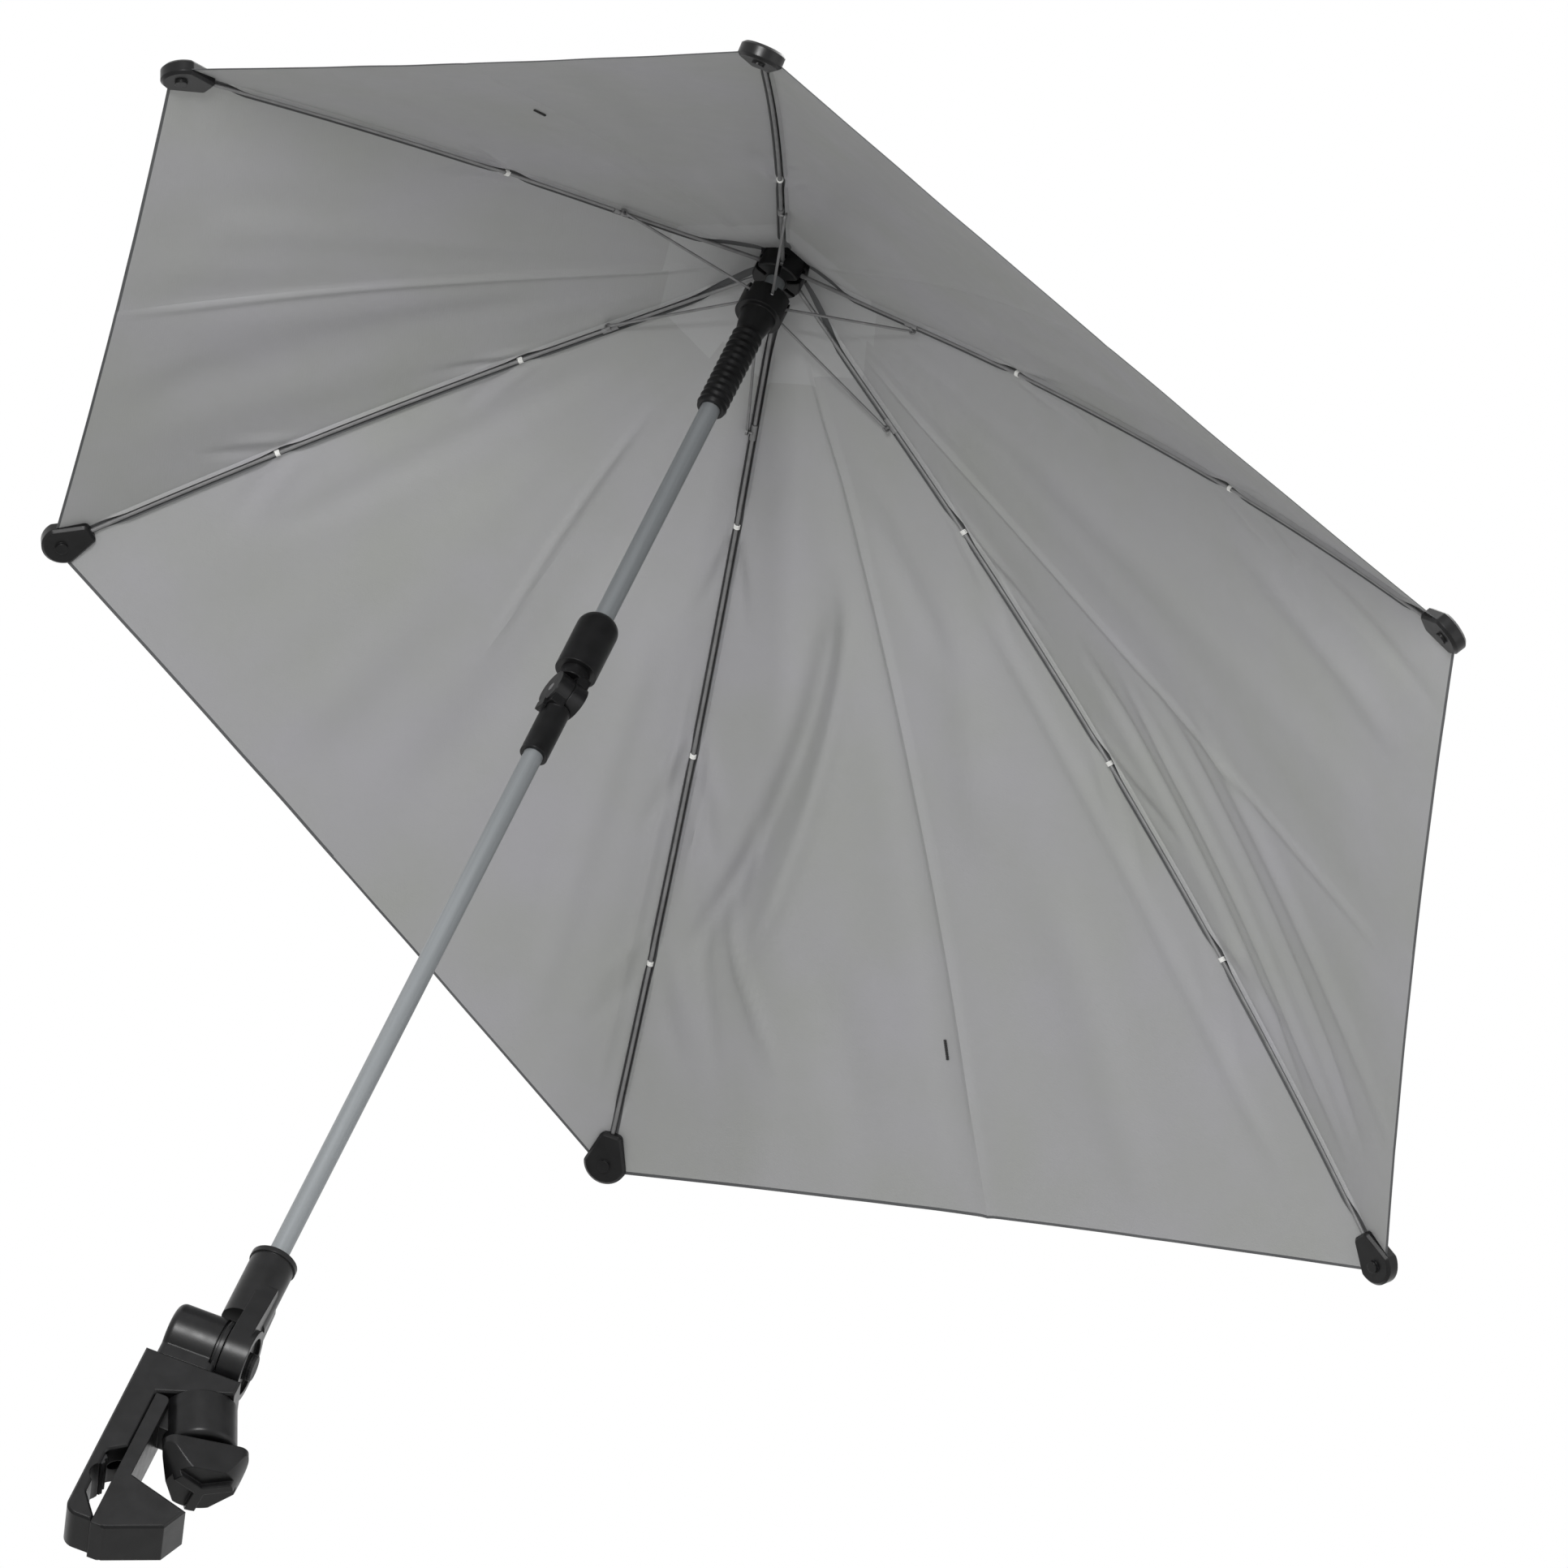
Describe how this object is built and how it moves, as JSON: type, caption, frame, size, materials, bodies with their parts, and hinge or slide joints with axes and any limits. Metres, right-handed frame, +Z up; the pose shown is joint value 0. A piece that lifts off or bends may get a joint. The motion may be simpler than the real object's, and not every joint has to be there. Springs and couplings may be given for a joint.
{
  "type": "pram parasol",
  "caption": "Folding oval parasol on a jointed pole with a sliding runner and a screw clamp for a pram's frame tube.",
  "frame": {"origin": "axis of the gripped pram tube, midway along the clamp's groove", "axes": "+Y along the gripped tube, +Z up along the pole, +X from the clamp's spine towards the pole"},
  "size_m": [1.0791, 1.1757, 1.213],
  "materials": {
    "black_plastic": "satin moulded",
    "aluminium": "satin",
    "steel": "zinc plated",
    "cloth": "coated woven polyester",
    "rubber": "ribbed"
  },
  "bodies": {
    "clamp": {"clamp_body": "black_plastic", "spine_pad": "rubber", "tilt_knuckle": "black_plastic", "knuckle_screws": "steel", "tilt_pin": "steel"},
    "jaw": {"clamp_jaw": "black_plastic"},
    "knob": {"clamp_knob": "black_plastic", "clamp_spindle": "steel"},
    "mast_lower": {"tube_socket": "black_plastic", "lower_tube": "aluminium", "elbow_lower_fitting": "black_plastic", "elbow_pin": "steel"},
    "button": {"tilt_button": "black_plastic"},
    "mast_upper": {"elbow_upper_fitting": "black_plastic", "elbow_sleeve": "black_plastic", "upper_tube": "aluminium", "crown": "black_plastic", "rib_pins": "steel", "top_cap": "black_plastic"},
    "runner": {"runner_body": "black_plastic", "stretcher_pins": "steel"},
    "rib_1": {"rib_1": "steel", "rib_bracket_1": "steel", "tip_cap_1": "black_plastic", "canopy_panel_1": "cloth"},
    "rib_2": {"rib_2": "steel", "rib_bracket_2": "steel", "tip_cap_2": "black_plastic", "canopy_panel_2": "cloth"},
    "rib_3": {"rib_3": "steel", "rib_bracket_3": "steel", "tip_cap_3": "black_plastic", "canopy_panel_3": "cloth"},
    "rib_4": {"rib_4": "steel", "rib_bracket_4": "steel", "tip_cap_4": "black_plastic", "canopy_panel_4": "cloth"},
    "rib_5": {"rib_5": "steel", "rib_bracket_5": "steel", "tip_cap_5": "black_plastic", "canopy_panel_5": "cloth"},
    "rib_6": {"rib_6": "steel", "rib_bracket_6": "steel", "tip_cap_6": "black_plastic", "canopy_panel_6": "cloth"},
    "stretcher_1": {"stretcher_1": "steel"},
    "stretcher_2": {"stretcher_2": "steel"},
    "stretcher_3": {"stretcher_3": "steel"},
    "stretcher_4": {"stretcher_4": "steel"},
    "stretcher_5": {"stretcher_5": "steel"},
    "stretcher_6": {"stretcher_6": "steel"}
  },
  "joints": [
    {"name": "jaw_slide", "type": "slide", "parent": "clamp", "child": "jaw", "axis": [0.3746, 0, -0.9272], "range_m": [0, 0.016]},
    {"name": "knob_turn", "type": "hinge", "parent": "jaw", "child": "knob", "pos_m": [0.028, 0, 0.108], "axis": [0.3746, 0, -0.9272], "range_deg": [0, 961]},
    {"name": "clamp_tilt", "type": "hinge", "parent": "clamp", "child": "mast_lower", "pos_m": [0.035, 0, 0.135], "axis": [1, 0, 0], "range_deg": [-90, 90]},
    {"name": "button_press", "type": "slide", "parent": "mast_lower", "child": "button", "axis": [-1, 0, 0], "range_m": [0, 0.003], "stiffness_N_per_m": 800, "springref_m": -0.001},
    {"name": "elbow_bend", "type": "hinge", "parent": "mast_lower", "child": "mast_upper", "pos_m": [0.035, 0, 0.747], "axis": [0.866, 0.5, 0], "range_deg": [-90, 90]},
    {"name": "runner_slide", "type": "slide", "parent": "mast_upper", "child": "runner", "axis": [0, 0, -1], "range_m": [0, 0.19748]},
    {"name": "rib_1_fold", "type": "hinge", "parent": "mast_upper", "child": "rib_1", "pos_m": [0.02461, -0.006, 1.155], "axis": [0.5, -0.866, 0], "range_deg": [0, 61.01], "deforming": ["canopy_panel_1"]},
    {"name": "rib_2_fold", "type": "hinge", "parent": "mast_upper", "child": "rib_2", "pos_m": [0.03563, -0.01198, 1.155], "axis": [0.9986, 0.0523, 0], "range_deg": [0, 61.01], "deforming": ["canopy_panel_2"]},
    {"name": "rib_3_fold", "type": "hinge", "parent": "mast_upper", "child": "rib_3", "pos_m": [0.04582, -0.00519, 1.155], "axis": [0.4321, 0.9018, 0], "range_deg": [0, 61.01], "deforming": ["canopy_panel_3"]},
    {"name": "rib_4_fold", "type": "hinge", "parent": "mast_upper", "child": "rib_4", "pos_m": [0.04539, 0.006, 1.155], "axis": [-0.5, 0.866, 0], "range_deg": [0, 61.01], "deforming": ["canopy_panel_4"]},
    {"name": "rib_5_fold", "type": "hinge", "parent": "mast_upper", "child": "rib_5", "pos_m": [0.03592, 0.01196, 1.155], "axis": [-0.9971, 0.0767, 0], "range_deg": [0, 61.01], "deforming": ["canopy_panel_5"]},
    {"name": "rib_6_fold", "type": "hinge", "parent": "mast_upper", "child": "rib_6", "pos_m": [0.02494, 0.00654, 1.155], "axis": [-0.5446, -0.8387, 0], "range_deg": [0, 61.01], "deforming": ["canopy_panel_6"]},
    {"name": "stretcher_1_swing", "type": "hinge", "parent": "runner", "child": "stretcher_1", "pos_m": [0.02498, -0.01064, 1.124], "axis": [-0.5, 0.866, 0], "range_deg": [0, 93.24]},
    {"name": "stretcher_2_swing", "type": "hinge", "parent": "runner", "child": "stretcher_2", "pos_m": [0.03993, -0.01376, 1.124], "axis": [-0.9986, -0.0523, 0], "range_deg": [0, 93.24]},
    {"name": "stretcher_3_swing", "type": "hinge", "parent": "runner", "child": "stretcher_3", "pos_m": [0.04944, -0.00226, 1.124], "axis": [-0.4321, -0.9018, 0], "range_deg": [0, 93.24]},
    {"name": "stretcher_4_swing", "type": "hinge", "parent": "runner", "child": "stretcher_4", "pos_m": [0.04502, 0.01064, 1.124], "axis": [0.5, -0.866, 0], "range_deg": [0, 93.24]},
    {"name": "stretcher_5_swing", "type": "hinge", "parent": "runner", "child": "stretcher_5", "pos_m": [0.03189, 0.01428, 1.124], "axis": [0.9971, -0.0767, 0], "range_deg": [0, 93.24]},
    {"name": "stretcher_6_swing", "type": "hinge", "parent": "runner", "child": "stretcher_6", "pos_m": [0.02097, 0.0041, 1.124], "axis": [0.5446, 0.8387, 0], "range_deg": [0, 93.24]}
  ],
  "couplings": [
    {"joint": "knob_turn", "follows": "jaw_slide", "rad_per_m": 1047.2},
    {"joint": "rib_1_fold", "follows": "runner_slide", "rad_per_m": 5.3912},
    {"joint": "rib_2_fold", "follows": "runner_slide", "rad_per_m": 5.3912},
    {"joint": "rib_3_fold", "follows": "runner_slide", "rad_per_m": 5.3912},
    {"joint": "rib_4_fold", "follows": "runner_slide", "rad_per_m": 5.3912},
    {"joint": "rib_5_fold", "follows": "runner_slide", "rad_per_m": 5.3912},
    {"joint": "rib_6_fold", "follows": "runner_slide", "rad_per_m": 5.3912},
    {"joint": "stretcher_1_swing", "follows": "runner_slide", "rad_per_m": 8.2396},
    {"joint": "stretcher_2_swing", "follows": "runner_slide", "rad_per_m": 8.2396},
    {"joint": "stretcher_3_swing", "follows": "runner_slide", "rad_per_m": 8.2396},
    {"joint": "stretcher_4_swing", "follows": "runner_slide", "rad_per_m": 8.2396},
    {"joint": "stretcher_5_swing", "follows": "runner_slide", "rad_per_m": 8.2396},
    {"joint": "stretcher_6_swing", "follows": "runner_slide", "rad_per_m": 8.2396}
  ]
}
